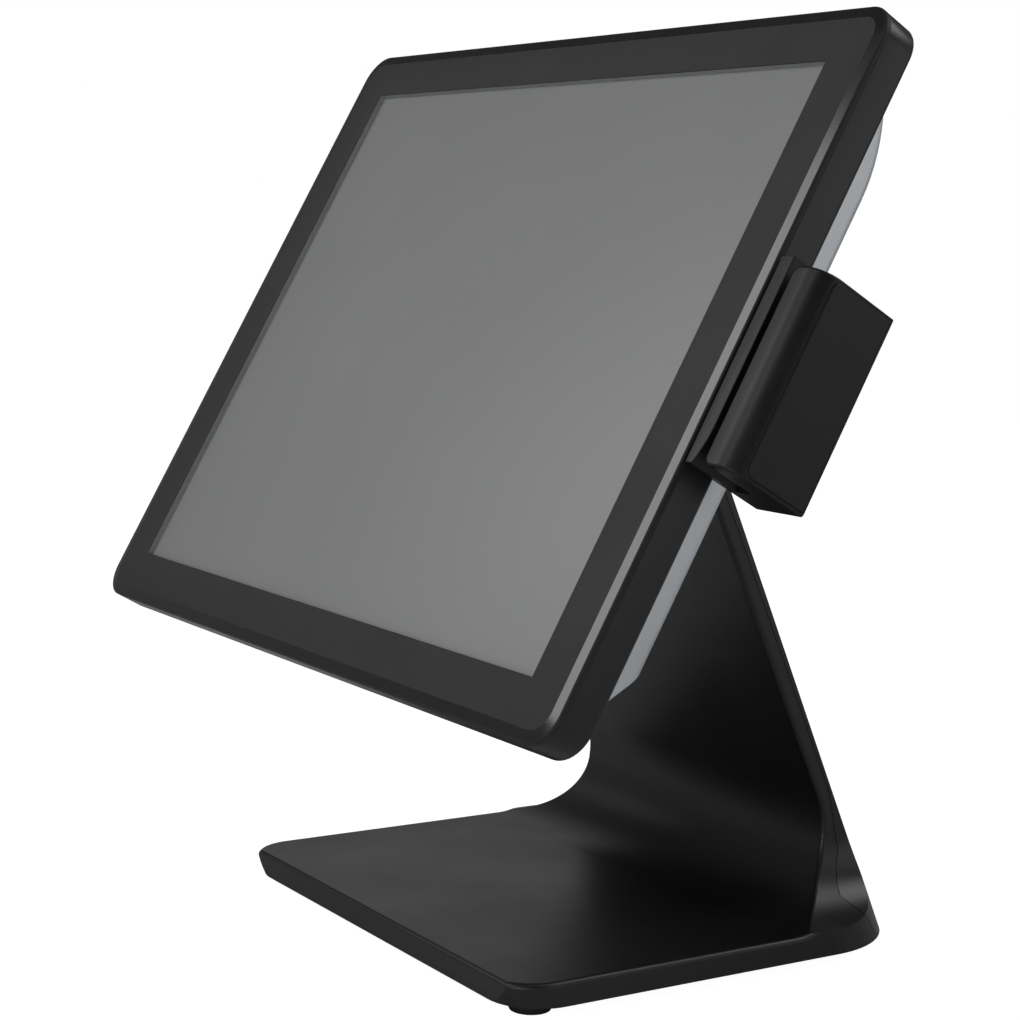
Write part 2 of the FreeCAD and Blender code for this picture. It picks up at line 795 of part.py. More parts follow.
WALL = 4.2            # front wall, measured level
COVER_WALL = 2.8
CHANNEL_HALF = 72.0


def cable_channel():
    """The hollow for the cables between the casting and its cover, open below."""
    tangent_y, tangent_z = front_tangent(WALL)
    roof = size("upright_top") - 6
    roof_y = tangent_y - (roof - tangent_z) * LEAN_TAN
    sweep_z = size("foot_top") + size("sweep_radius")
    radius = size("sweep_radius") + WALL
    start_y = 113.0
    start_z = sweep_z - math.sqrt(radius.number ** 2 - (start_y - SIZES["sweep_y"]) ** 2)
    inside = extrusion("channel_side", "YZ", -CHANNEL_HALF, 2 * CHANNEL_HALF, polygon(
        (start_y, -5.0), (200.0, -5.0), (200.0, roof), (roof_y, roof),
        (tangent_y, tangent_z, (size("sweep_y"), sweep_z, -1)), (start_y, start_z)))
    return combine("MultiCommon", "channel", inside, rear_envelope("channel_plan", -COVER_WALL))


def samples(edge):
    """Points along an edge, its ends among them."""
    return edge.discretize(Number=5)


def on_front(point):
    """Whether a point lies on the foot's top, the sweep or the leaning front face."""
    tangent_y, tangent_z = (value.number for value in front_tangent(0))
    centre_z = SIZES["foot_top"] + SIZES["sweep_radius"]
    if point.y <= SIZES["sweep_y"] and point.z < centre_z:
        return near(point.z, SIZES["foot_top"])
    if point.z <= tangent_z:
        reach = math.hypot(point.y - SIZES["sweep_y"], point.z - centre_z)
        return near(reach, SIZES["sweep_radius"])
    return near(point.y, lean_back(tangent_y, tangent_z, point.z))


def on_crown(point):
    """Whether a point lies on the crowned back."""
    crown_centre, crown_radius = (value.number for value in plan_points()[4:])
    leaning = max(0.0, point.z - SIZES["lean_start"]) * LEAN_TAN
    return near(math.hypot(point.x, point.y + leaning - crown_centre), crown_radius)


def rounded(label, solid, radius, on_surface, chosen):
    """Round the edges that lie on a surface and that chosen(edge's box) picks."""
    doc.recompute()
    numbers = [
        number for number, edge in enumerate(solid.Shape.Edges, start=1)
        if chosen(edge.BoundBox) and all(on_surface(point) for point in samples(edge))
    ]
    fillet = doc.addObject("Part::Fillet", label)
    fillet.Base = solid
    fillet.Edges = [(number, radius, radius) for number in numbers]
    return fillet


def casting_rim(box):
    """Leaves out the cable inlet's edges and the lines where front surfaces run into each other."""
    one_side = box.XMin > 60 or box.XMax < -60
    return one_side or near(box.YMin, -SIZES["foot_front"]) or near(box.ZMin, SIZES["upright_top"])


def cover_rim(box):
    one_side = box.XMin > 60 or box.XMax < -60
    return one_side and box.ZLength > 3 or near(box.ZMin, SIZES["upright_top"])


INLET = (145.0, 178.0)
OUTLET_TOP = 18.0


def base_casting(block, channel):
    front = combine("MultiCommon", "casting_block", block, seam_prism("casting_seam", 0.0))
    hollowed = combine("Cut", "casting_hollowed", front, channel)
    inlet = extrusion("inlet", "XZ", -110.0, 80.0, rectangle(-30, 30, *INLET))
    with_inlet = combine("Cut", "casting_with_inlet", hollowed, inlet)
    recess = extrusion("ballast_recess", "XY", -1.0, 11.0, rectangle(-80, 80, -8, 98))
    sharp = combine("Cut", "casting_sharp", with_inlet, recess)
    finished = rounded("base_casting", sharp, 1.8, on_front, casting_rim)
    finished.Label = "base_casting"
    stand_frame(finished)
    return finished


def rear_cover(block, channel):
    rear = combine("Cut", "cover_block", block, seam_prism("cover_seam", 0.3))
    hollowed = combine("Cut", "cover_hollowed", rear, channel)
    outlet = extrusion("outlet", "XZ", -180.0, 45.0, rectangle(-30, 30, -2, OUTLET_TOP))
    sharp = combine("Cut", "cover_sharp", hollowed, outlet)
    finished = rounded("rear_cover", sharp, 1.6, on_crown, cover_rim)
    finished.Label = "rear_cover"
    stand_frame(finished)
    return finished


def base_ballast():
    return plate("base_ballast", stand_frame, (-79.7, 79.7), (-7.7, 97.7), (4.6, 10.0), 3.0)


def ballast_screws():
    spots = [(x, y) for x in (-68, 68) for y in (4, 86)]
    body = new_body("ballast_screws", stand_frame)
    prism(body, "XY", 4.6, 12.0, *[disc(x, y, 2.0) for x, y in spots])
    prism(body, "XY", 2.8, 4.6, *[disc(x, y, 3.8) for x, y in spots])
    return body


def rubber_feet():
    body = new_body("rubber_feet", stand_frame)
    spots = [(-92, -13), (92, -13), (-82, 112), (82, 112)]
    prism(body, "XY", 0, size("foot_gap"), *[disc(x, y, 7.8) for x, y in spots])
    round_edges(body, 0.6, flat_at(0))
    return body


# ---------------------------------------------------------------- card reader on the right side

reader_span = (size("reader_low"), size("reader_high"))
side_wall = half("bezel_wide")
lip_in = side_wall + 2.0
SCREW_Z = -9.0         # the two bracket screws
LIP_FACE = -0.2        # the lip stands just behind the screen's plane
LEAD_LONG = 14.0       # the lip's lead-in, along the slot and across it
LEAD_DEEP = 3.0
COVER_BEND = 3.2       # corners of the side cover's recess
POCKET_IN = 191.0      # inner wall of the case's pocket


def reader_bracket():
    """Plate on the housing's side that carries the reader's lip and case."""
    body = plate("reader_bracket", head_frame, (side_wall, lip_in), (-33.0, 34.0), (-30.0, -3.0))
    for y in (-20, 20):
        prism(body, "YZ", side_wall - 1, lip_in + 1, disc(y, SCREW_Z, 1.6), cut=True)
        prism(body, "YZ", lip_in - 1.2, lip_in + 1, disc(y, SCREW_Z, 2.9), cut=True)
    return body


def reader_lip():
    """The slim guide that forms the card slot's inner wall, drawn in at its lower end to lead a card."""
    body = new_body("reader_lip", head_frame)
    inner, low, high = size("slot_in"), size("reader_low"), size("reader_high") + 3.4
    centre_x = inner - (LEAD_LONG ** 2 + LEAD_DEEP ** 2) / (2 * LEAD_DEEP)
    prism(body, "XY", -size("slot_floor"), LIP_FACE, polygon(
        (lip_in, low), (inner - LEAD_DEEP, low, (centre_x, low + LEAD_LONG, 1)), (inner, low + LEAD_LONG),
        (inner, high), (lip_in, high)))
    round_edges(body, 0.4, lambda box: near(box.ZMax, LIP_FACE) and near(box.ZLength, 0))
    return body


def reader_body():
    """L-shaped case: the slot's floor and its outer wall, with a pocket for the electronics."""
    out = size("reader_out")
    body = new_body("reader_body", head_frame)
    floor = -size("slot_floor")
    prism(body, "XZ", *reader_span, polygon(
        (lip_in, casting_back), (out, casting_back), (out, -9.0, (out - 9, -9.0, 1)), (out - 9, 0.0),
        (size("slot_out"), 0.0), (size("slot_out"), floor), (lip_in, floor)))
    low, high = (end.number for end in reader_span)
    round_edges(body, 3.5, lambda box: near(box.XMin, SIZES["slot_out"]) and near(box.XLength, 0)
                and near(box.YLength, 0) and (near(box.YMin, low) or near(box.YMin, high)))
    round_edges(body, 1.0, lambda box: near(box.YLength, 0) and box.XMin > SIZES["slot_out"] + 2
                and (near(box.YMin, low) or near(box.YMin, high)))
    pocket = rectangle(reader_span[0] + 3, reader_span[1] - 3, -31.0, -11.5)
    prism(body, "YZ", POCKET_IN, out + 1, pocket, cut=True)
    near_y, far_y, bend = reader_span[0] + 1.0, reader_span[1] - 1.0, COVER_BEND
    prism(body, "YZ", out - 1.2, out + 1, polygon(
        (near_y, -33.2), (far_y, -33.2), (far_y, -6.6 - bend, (far_y - bend, -6.6 - bend, 1)),
        (far_y - bend, -6.6), (near_y + bend, -6.6, (near_y + bend, -6.6 - bend, 1)),
        (near_y, -6.6 - bend)), cut=True)
    prism(body, "YZ", size("slot_out") - 1, 192.0, rectangle(-5.3, 5.3, -16.3, -9.7), cut=True)
    prism(body, "YZ", 190.0, 194.6, rectangle(-20, 20, -16.3, -9.7), cut=True)
    return body


def reader_side_cover():
    out = size("reader_out")
    body = new_body("reader_side_cover", head_frame)
    prism(body, "YZ", out - 1.2, out + 0.3,
          rectangle(reader_span[0] + 1.15, reader_span[1] - 1.15, -33.05, -6.75))
    round_edges(body, 3.0, lambda box: near(box.YLength, 0) and near(box.ZLength, 0)
                and near(box.ZMax, -6.75))
    round_edges(body, 0.4, lambda box: near(box.XMax, SIZES["reader_out"] + 0.3) and near(box.XLength, 0))
    return body


def read_head():
    body = plate("read_head", head_frame, (size("slot_out") - 0.4, POCKET_IN), pair(5.0), (-16.0, -10.0))
    round_edges(body, 0.35, lambda box: near(box.XMax, SIZES["slot_out"] - 0.4) and near(box.XLength, 0))
    return body


def read_head_spring():
    """Flat bridge spring behind the magnetic head, resting on the case at both ends."""
    body = plate("read_head_spring", head_frame, (192.1, 192.4), pair(19.5), (-15.5, -10.5))
    for low, high in mirrored_spans((16.0, 19.5)):
        prism(body, "XY", -15.5, -10.5, rectangle(190.0, 192.1, low, high))
    return body


def reader_board():
    along = (reader_span[0] + 4, reader_span[1] - 4)
    return plate("reader_board", head_frame, (194.8, 196.2), along, (-30.5, -12))


def reader_screws():
    """Two screws that hold the bracket to the housing's side wall, behind the case."""
    body = new_body("reader_screws", head_frame)
    prism(body, "YZ", side_wall - 6.2, lip_in - 1.2, *[disc(y, SCREW_Z, 1.5) for y in (-20, 20)])
    prism(body, "YZ", lip_in - 1.2, lip_in, *[disc(y, SCREW_Z, 2.7) for y in (-20, 20)])
    return body


# ---------------------------------------------------------------- build, check and write

block = stand_envelope()
channel = cable_channel()
keep(base_casting(block, channel))
keep(rear_cover(block, channel))
makers = [
    base_ballast, ballast_screws, rubber_feet, stand_hinge_bracket, hinge_pins, bracket_screws, hinge_caps,
    front_bezel, touch_glass, touch_gasket, lcd_panel, lcd_chassis, rear_housing, power_button, power_switch,
    rear_casting, io_bracket, mainboard, board_standoffs, processor, heat_block, memory_module, coin_cell,
    solid_state_drive, speaker, housing_screws, head_hinge_plate, plate_screws, reader_bracket, reader_lip,
    reader_body, reader_side_cover, read_head, read_head_spring, reader_board, reader_screws,
]
for make in makers:
    keep(make())
for name in SOCKETS:
    keep(socket(name))
PIN_FIT = size("pin_radius")
keep(rounds_on_axis("friction_washers", WASHERS, 8.0, PIN_FIT))
keep(rounds_on_axis("disc_springs", [SPRINGS], 7.0, PIN_FIT))
keep(rounds_on_axis("hinge_nuts", [NUT], 6.5, PIN_FIT))
doc.recompute()

for item in doc.Objects:
    if "Invalid" in item.State or "Error" in item.State:
        raise RuntimeError(f"{item.Label} failed: {item.State}")
whole = FreeCAD.BoundBox()
for node in nodes:
    if node.Shape.isNull() or not node.Shape.isValid():
        raise RuntimeError(f"{node.Label} has no valid shape")
    whole.add(node.Shape.BoundBox)
print(f"{len(nodes)} nodes, box {whole}")

os.makedirs("parts", exist_ok=True)
for node in nodes:
    node.Shape.exportStep(f"parts/{node.Label}.step")
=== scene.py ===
# %% [markdown]
# # A checkout touchscreen terminal
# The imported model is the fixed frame: every casing, hinge and socket is already in place, in metres.
# This lesson puts the camera and the light round it, makes a finish for each material, and builds the
# pieces whose edges and small features need more than the plain frame gives.
# %% Load the frame
import json
import math

import bmesh
import bpy
from mathutils import Matrix, Vector


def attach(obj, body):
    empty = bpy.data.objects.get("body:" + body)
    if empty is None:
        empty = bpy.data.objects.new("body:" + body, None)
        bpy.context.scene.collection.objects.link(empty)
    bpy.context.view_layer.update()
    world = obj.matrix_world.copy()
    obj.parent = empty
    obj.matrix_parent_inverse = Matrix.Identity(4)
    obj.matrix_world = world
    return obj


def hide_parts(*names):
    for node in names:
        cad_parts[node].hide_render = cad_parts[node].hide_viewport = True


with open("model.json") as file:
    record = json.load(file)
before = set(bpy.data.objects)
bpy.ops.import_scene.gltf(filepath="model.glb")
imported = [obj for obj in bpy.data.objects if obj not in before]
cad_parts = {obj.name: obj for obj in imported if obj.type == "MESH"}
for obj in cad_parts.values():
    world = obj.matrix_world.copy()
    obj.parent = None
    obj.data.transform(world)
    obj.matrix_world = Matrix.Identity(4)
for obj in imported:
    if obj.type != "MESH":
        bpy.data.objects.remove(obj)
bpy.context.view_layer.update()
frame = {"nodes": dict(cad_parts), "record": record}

MM = 0.001

# %% [markdown]
# ## Working axes
# The head leans back, so its pieces are easiest to build flat, along the head's own axes: x along the
# screen, y up the screen and z out of it.  The card slot's stated direction is the screen's normal,
# which gives all three axes without a second copy of the lean.
# %% Axes of the head and of the stand
mounts = {mount["name"]: mount for mount in frame["record"]["mounts"]}
along = Vector((1.0, 0.0, 0.0))
out_of_screen = Vector(mounts["card_slot"]["axis"]).normalized()
up_screen = out_of_screen.cross(along)
HEAD = Matrix((along, up_screen, out_of_screen)).transposed().to_4x4()
STAND = Matrix.Identity(4)


def local_box(node, axes):
    """Lowest and highest corner of a frame node, measured along tilted axes."""
    turned = axes.inverted()
    points = [turned @ vertex.co for vertex in frame["nodes"][node].data.vertices]
    low = Vector([min(point[i] for point in points) for i in range(3)])
    high = Vector([max(point[i] for point in points) for i in range(3)])
    return low, high


bezel_low, bezel_high = local_box("front_bezel", HEAD)
print("bezel", [round(c / MM, 1) for c in bezel_high - bezel_low], "mm")

# %% [markdown]
# ## Camera
# The camera looks from the right, a little above the table, and is turned slightly about its own axis.
# It is placed from the screen's centre, so that it keeps its view if the frame's origin moves.
# %% Camera
screen_centre = HEAD @ Vector((
    (bezel_low.x + bezel_high.x) / 2, (bezel_low.y + bezel_high.y) / 2, bezel_high.z))
CAMERA_TURN = math.radians(57.435)
CAMERA_RISE = math.radians(6.875)
CAMERA_ROLL = math.radians(1.424)
CAMERA_OFFSET = Vector((747.6, -445.4, 39.3)) * MM
backward = Vector((
    math.sin(CAMERA_TURN) * math.cos(CAMERA_RISE),
    -math.cos(CAMERA_TURN) * math.cos(CAMERA_RISE),
    math.sin(CAMERA_RISE)))
level_right = Vector((math.cos(CAMERA_TURN), math.sin(CAMERA_TURN), 0.0))
level_up = backward.cross(level_right)
camera_right = level_right * math.cos(CAMERA_ROLL) + level_up * math.sin(CAMERA_ROLL)
camera_up = backward.cross(camera_right)
camera = bpy.data.objects.new("camera", bpy.data.cameras.new("camera"))
camera.matrix_world = Matrix.Translation(screen_centre + CAMERA_OFFSET) @ Matrix(
    (camera_right, camera_up, backward)).transposed().to_4x4()
camera.data.sensor_width = 36.0
camera.data.lens = 80.3
camera.data.clip_start = 0.01
bpy.context.scene.collection.objects.link(camera)
bpy.context.scene.camera = camera
print("camera at", [round(c, 3) for c in camera.location])

# %% [markdown]
# ## Node helper and colours
# Colours are picked as screen hex values, and shading is worked out in linear light, so one
# function converts them.  Another adds a shader node with its settings and links in one line.
# %% Helpers for materials
def linear(hex_colour, alpha=1.0):
    """Linear light values of an sRGB hex colour."""
    parts = [int(hex_colour[i:i + 2], 16) / 255 for i in (1, 3, 5)]
    return [p / 12.92 if p <= 0.04045 else ((p + 0.055) / 1.055) ** 2.4 for p in parts] + [alpha]


def add_node(tree, kind, links=None, inputs=None, **settings):
    """Add a node, set its properties and sockets, and link named inputs to other nodes' outputs."""
    made = tree.nodes.new(kind)
    for name, value in settings.items():
        setattr(made, name, value)
    for name, value in (inputs or {}).items():
        made.inputs[name].default_value = value
    for name, source in (links or {}).items():
        tree.links.new(source, made.inputs[name])
    return made


def new_material(name, **shader_inputs):
    """A material with a Principled shader, whose single-valued sockets are set directly."""
    material = bpy.data.materials.new(name)
    material.use_nodes = True
    shader = material.node_tree.nodes["Principled BSDF"]
    for socket, value in shader_inputs.items():
        shader.inputs[socket.replace("_", " ")].default_value = value
    return material, material.node_tree, shader


def grain_bump(tree, shader, size_mm, depth_mm, detail=2.0, roughness=0.5):
    """Bump from a fine noise whose grains are about size_mm across."""
    place = add_node(tree, "ShaderNodeTexCoord")
    noise = add_node(tree, "ShaderNodeTexNoise", {"Vector": place.outputs["Object"]},
                     {"Scale": 1.0 / (size_mm * MM), "Detail": detail, "Roughness": roughness})
    bump = add_node(tree, "ShaderNodeBump", {"Height": noise.outputs["Fac"]},
                    {"Distance": depth_mm * MM, "Strength": 1.0})
    tree.links.new(bump.outputs["Normal"], shader.inputs["Normal"])
    return place


def mottle(tree, shader, place, size_mm, low_hex, high_hex, roughness_range):
    """Slow change of colour and roughness over a surface, as handling and coating leave it."""
    cloud = add_node(tree, "ShaderNodeTexNoise", {"Vector": place.outputs["Object"]},
                     {"Scale": 1.0 / (size_mm * MM), "Detail": 4.0, "Roughness": 0.6})
    ramp = add_node(tree, "ShaderNodeValToRGB", {"Fac": cloud.outputs["Fac"]})
    ramp.color_ramp.elements[0].position = 0.3
    ramp.color_ramp.elements[0].color = linear(low_hex)
    ramp.color_ramp.elements[1].position = 0.7
    ramp.color_ramp.elements[1].color = linear(high_hex)
    tree.links.new(ramp.outputs["Color"], shader.inputs["Base Color"])
    smooth, rough = roughness_range
    spread = add_node(tree, "ShaderNodeMapRange", {"Value": cloud.outputs["Fac"]},
                      {"From Min": 0.3, "From Max": 0.7, "To Min": smooth, "To Max": rough})
    tree.links.new(spread.outputs["Result"], shader.inputs["Roughness"])


# %% [markdown]
# ## Powder-coated cast aluminium: the stand
# The stand is sand-blasted and powder coated.  The coat melts into a satin skin with a faint orange
# peel, so the gloss is soft and breaks up at about half a millimetre.
# %% Powder coat
def powder_coat():
    material, tree, shader = new_material("powder_coated_aluminium", IOR=1.5)
    place = grain_bump(tree, shader, 0.7, 0.02)
    mottle(tree, shader, place, 60.0, "#121314", "#161718", (0.33, 0.41))
    return material


# %% [markdown]
# ## Moulded ABS: housing, cover and reader
# Black ABS from a spark-eroded mould: a fine even texture, satin rather than matt.
# %% Black ABS
def black_abs():
    material, tree, shader = new_material("moulded_black_abs", IOR=1.54)
    place = grain_bump(tree, shader, 0.35, 0.012)
    mottle(tree, shader, place, 45.0, "#101011", "#141415", (0.28, 0.35))
    return material


# %% [markdown]
# ## Textured ABS: the bezel's face
# The face round the screen is a dark grey ABS with a matt texture, and its rolled edge is left
# smoother by the mould, so that it catches a thin bright line.
# %% Bezel plastics
def bezel_face_abs():
    material, tree, shader = new_material("textured_grey_abs", IOR=1.52)
    place = grain_bump(tree, shader, 0.4, 0.03)
    mottle(tree, shader, place, 50.0, "#121212", "#151515", (0.53, 0.61))
    return material


def bezel_edge_abs():
    material, tree, shader = new_material("polished_edge_abs", IOR=1.54)
    place = grain_bump(tree, shader, 0.5, 0.004)
    mottle(tree, shader, place, 40.0, "#17181a", "#1b1c1e", (0.14, 0.19))
    return material


# %% [markdown]
# ## Matt ABS: the card reader
# The reader is a separate moulding with a rougher texture than the housing, so its nose shows one
# broad soft highlight in place of a sharp one.
# %% Matt ABS
def matt_abs():
    material, tree, shader = new_material("matt_black_abs", IOR=1.44)
    place = grain_bump(tree, shader, 0.4, 0.02)
    mottle(tree, shader, place, 40.0, "#0c0c0d", "#101011", (0.40, 0.46))
    return material


# %% [markdown]
# ## Seal lip
# A pale grey elastomer lip closes the gap between the bezel's window and the touch film, and shows as
# a thin line round the screen.
# %% Grey elastomer
def seal_lip():
    material, tree, shader = new_material("grey_seal_lip", IOR=1.45)
    place = grain_bump(tree, shader, 0.5, 0.01)
    mottle(tree, shader, place, 20.0, "#8f9191", "#989a9a", (0.55, 0.65))
    return material


# %% [markdown]
# ## Touch overlay
# A resistive touch overlay is a film over glass, etched against glare.  Switched off, its haze shows
# as an even mid grey, brighter where a window or lamp is smeared out across it.
# %% Hazy touch film
def touch_film():
    material, tree, shader = new_material("anti_glare_touch_film", IOR=1.5,
                                          Coat_Weight=0.25, Coat_Roughness=0.45)
    place = grain_bump(tree, shader, 0.25, 0.006)
    mottle(tree, shader, place, 120.0, "#8f9190", "#939594", (0.46, 0.50))
    return material


# %% [markdown]
# ## Metals
# The cast back is bead blasted, the brackets and cans are zinc or nickel plated sheet, and the hinge
# plates are painted.  Blasting leaves dimples of about a third of a millimetre.
# %% Metal finishes
def blasted_aluminium():
    material, tree, shader = new_material("bead_blasted_aluminium", Metallic=1.0)
    place = grain_bump(tree, shader, 0.45, 0.05, detail=3.0)
    mottle(tree, shader, place, 35.0, "#dde1e5", "#e6eaed", (0.44, 0.54))
    return material


def zinc_plate():
    material, tree, shader = new_material("zinc_plated_sheet", Metallic=1.0)
    place = grain_bump(tree, shader, 1.2, 0.006)
    mottle(tree, shader, place, 12.0, "#a9adb3", "#c0c3c6", (0.28, 0.42))
    return material


def nickel():
    material, tree, shader = new_material("nickel_plated_steel", Metallic=1.0)
    place = grain_bump(tree, shader, 0.5, 0.004)
    mottle(tree, shader, place, 8.0, "#b8b6b0", "#cac8c2", (0.18, 0.30))
    return material


def painted_steel():
    material, tree, shader = new_material("black_painted_steel", IOR=1.5)
    place = grain_bump(tree, shader, 0.6, 0.015)
    mottle(tree, shader, place, 25.0, "#161617", "#1b1b1c", (0.38, 0.48))
    return material


def turned_brass():
    material, tree, shader = new_material("turned_brass", Metallic=1.0)
    place = grain_bump(tree, shader, 0.4, 0.006)
    mottle(tree, shader, place, 6.0, "#b8954e", "#c9a862", (0.25, 0.35))
    return material


def gold_contact():
    material, tree, shader = new_material("gold_plated_contact", Metallic=1.0)
    place = grain_bump(tree, shader, 0.2, 0.002)
    mottle(tree, shader, place, 3.0, "#d9b25a", "#e3c072", (0.2, 0.28))
    return material


# %% [markdown]
# ## Rubber, circuit board and socket plastic
# The feet are moulded rubber with a dry bloom, the boards are green solder mask over glass cloth, and
# the sockets are a dull heat-proof plastic.
# %% Soft and dark plastics
def moulded_rubber():
    material, tree, shader = new_material("moulded_rubber", IOR=1.52)
    place = grain_bump(tree, shader, 0.6, 0.03)
    mottle(tree, shader, place, 9.0, "#121212", "#1c1c1c", (0.6, 0.75))
    return material


def solder_mask():
    material, tree, shader = new_material("solder_mask", IOR=1.5)
    place = grain_bump(tree, shader, 1.0, 0.012)
    mottle(tree, shader, place, 14.0, "#0f4a2c", "#1a6a3e", (0.28, 0.4))
    return material


def socket_nylon():
    material, tree, shader = new_material("socket_nylon", IOR=1.53)
    place = grain_bump(tree, shader, 0.4, 0.01)
    mottle(tree, shader, place, 10.0, "#141414", "#1e1e1f", (0.45, 0.58))
    return material


# %% Give every frame node its finish
finishes = {
    "black_powder_coat": powder_coat(),
    "black_moulding": black_abs(),
    "dark_bezel": bezel_face_abs(),
    "touch_glass": touch_film(),
    "silver_casting": blasted_aluminium(),
    "zinc_steel": zinc_plate(),
    "bright_steel": nickel(),
    "black_steel": painted_steel(),
    "black_rubber": moulded_rubber(),
    "circuit_board": solder_mask(),
    "chip_black": socket_nylon(),
    "brass_standoff": turned_brass(),
}
polished_edge = bezel_edge_abs()
reader_finish = matt_abs()
seal = seal_lip()
gold = gold_contact()
slot_of = {part["node"]: part["material_slot"] for part in frame["record"]["subparts"]}
members_of = frame["record"]["behaviour"]["bodies"]
body_of = {node: body for body, members in members_of.items() for node in members}
for node, item in frame["nodes"].items():
    item.data.materials.clear()
    item.data.materials.append(finishes[slot_of[node]])
print("finishes", len(finishes) + 4)

# %% [markdown]
# ## Studio
# A pale floor, a white surround and six soft lamps.  The lamp ahead on the left is mirrored in the
# bezel's sloped rim, and the one ahead in the reader's rounded nose.  The lamp behind on the left gives
# the foot its sheen, and the large one behind on the right keeps the cast back silver.
# %% Floor and surround
def studio_floor():
    """A floor that looks pale to the camera, and gives back only a little light to the object."""
    mesh = bpy.data.meshes.new("floor")
    shape = bmesh.new()
    bmesh.ops.create_grid(shape, x_segments=1, y_segments=1, size=30.0)
    shape.to_mesh(mesh)
    shape.free()
    floor = bpy.data.objects.new("floor", mesh)
    material = bpy.data.materials.new("pale_floor")
    material.use_nodes = True
    tree = material.node_tree
    tree.nodes.clear()
    rays = add_node(tree, "ShaderNodeLightPath")
    shaded = add_node(tree, "ShaderNodeBsdfDiffuse", inputs={"Color": linear("#9a9a9a")})
    glow = add_node(tree, "ShaderNodeEmission", inputs={"Color": linear("#ffffff"), "Strength": 0.97})
    lit = add_node(tree, "ShaderNodeAddShader")
    tree.links.new(shaded.outputs["BSDF"], lit.inputs[0])
    tree.links.new(glow.outputs["Emission"], lit.inputs[1])
    unseen = add_node(tree, "ShaderNodeBsdfDiffuse", inputs={"Color": linear("#dcdcdc")})
    mixed = add_node(tree, "ShaderNodeMixShader", {"Fac": rays.outputs["Is Camera Ray"]})
    tree.links.new(unseen.outputs["BSDF"], mixed.inputs[1])
    tree.links.new(lit.outputs["Shader"], mixed.inputs[2])
    add_node(tree, "ShaderNodeOutputMaterial", {"Surface": mixed.outputs["Shader"]})
    mesh.materials.append(material)
    bpy.context.scene.collection.objects.link(floor)
    return floor


def surround(seen, horizon, above, below):
    """White as seen by the camera; as a source of light, brightest just over the horizon."""
    world = bpy.data.worlds.new("studio")
    bpy.context.scene.world = world
    world.use_nodes = True
    tree = world.node_tree
    tree.nodes.clear()
    rays = add_node(tree, "ShaderNodeLightPath")
    sky = add_node(tree, "ShaderNodeTexCoord")
    height = add_node(tree, "ShaderNodeSeparateXYZ", {"Vector": sky.outputs["Generated"]})
    spread = add_node(tree, "ShaderNodeMapRange", {"Value": height.outputs["Z"]},
                      {"From Min": -1.0, "From Max": 1.0})
    bands = add_node(tree, "ShaderNodeValToRGB", {"Fac": spread.outputs["Result"]})
    bands.color_ramp.elements[0].position = 0.46
    bands.color_ramp.elements[0].color = [below] * 3 + [1.0]
    bands.color_ramp.elements[1].position = 0.52
    bands.color_ramp.elements[1].color = [horizon] * 3 + [1.0]
    top = bands.color_ramp.elements.new(0.72)
    top.color = [above] * 3 + [1.0]
    bright = add_node(tree, "ShaderNodeBackground", inputs={"Color": (1, 1, 1, 1), "Strength": seen})
    dim = add_node(tree, "ShaderNodeBackground", {"Color": bands.outputs["Color"]})
    mixed = add_node(tree, "ShaderNodeMixShader", {"Fac": rays.outputs["Is Camera Ray"]})
    tree.links.new(dim.outputs["Background"], mixed.inputs[1])
    tree.links.new(bright.outputs["Background"], mixed.inputs[2])
    add_node(tree, "ShaderNodeOutputWorld", {"Surface": mixed.outputs["Shader"]})


def soft_lamp(name, direction, distance, size, power, aim=Vector((0, 0, 0.18))):
    """A rectangular lamp that faces the object from a direction."""
    lamp = bpy.data.objects.new(name, bpy.data.lights.new(name, "AREA"))
    lamp.data.shape = "RECTANGLE"
    lamp.data.size, lamp.data.size_y = size
    lamp.data.energy = power
    lamp.location = aim + Vector(direction).normalized() * distance
    lamp.rotation_mode = "QUATERNION"
    lamp.rotation_quaternion = (lamp.location - aim).to_track_quat("Z", "Y")
    bpy.context.scene.collection.objects.link(lamp)
    return lamp


bpy.context.scene.view_settings.view_transform = "Standard"
studio_floor()
surround(1.0, 0.26, 0.09, 0.03)
for name, direction, distance, size, power in (
        ("front_left_lamp", (-0.52, -0.64, 0.56), 1.7, (0.75, 0.75), 6.5),
        ("front_lamp", (0.12, -0.76, 0.62), 1.7, (0.45, 0.6), 4.0),
        ("back_left_lamp", (-0.86, 0.42, 0.34), 1.8, (0.9, 0.6), 0.7),
        ("right_back_lamp", (0.84, 0.52, 0.06), 1.7, (1.6, 1.1), 2.6),
        ("top_back_lamp", (0.31, 0.53, 0.66), 1.7, (0.9, 0.9), 6.0),
        ("front_right_lamp", (0.62, -0.78, 0.02), 1.7, (0.35, 0.5), 4.0)):
    soft_lamp(name, direction, distance, size, power)

# %% [markdown]
# ## Softened copies
# A frame piece is exact but its corners are knife sharp, and real mouldings and castings have none.
# A copy of the mesh is welded, its flat faces are cleaned, and only the edges that turn sharply are
# bevelled, so each catches a line of light.
# %% Softened copy of a frame node
def finish_piece(shape, name, material, body, extra=()):
    """Turn a bmesh into a piece that rides on a body."""
    mesh = bpy.data.meshes.new(name)
    shape.to_mesh(mesh)
    shape.free()
    mesh.materials.append(material)
    for more in extra:
        mesh.materials.append(more)
    for face in mesh.polygons:
        face.use_smooth = True
    mesh.set_sharp_from_angle(angle=math.radians(40))
    piece = bpy.data.objects.new(name, mesh)
    bpy.context.scene.collection.objects.link(piece)
    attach(piece, body)
    return piece


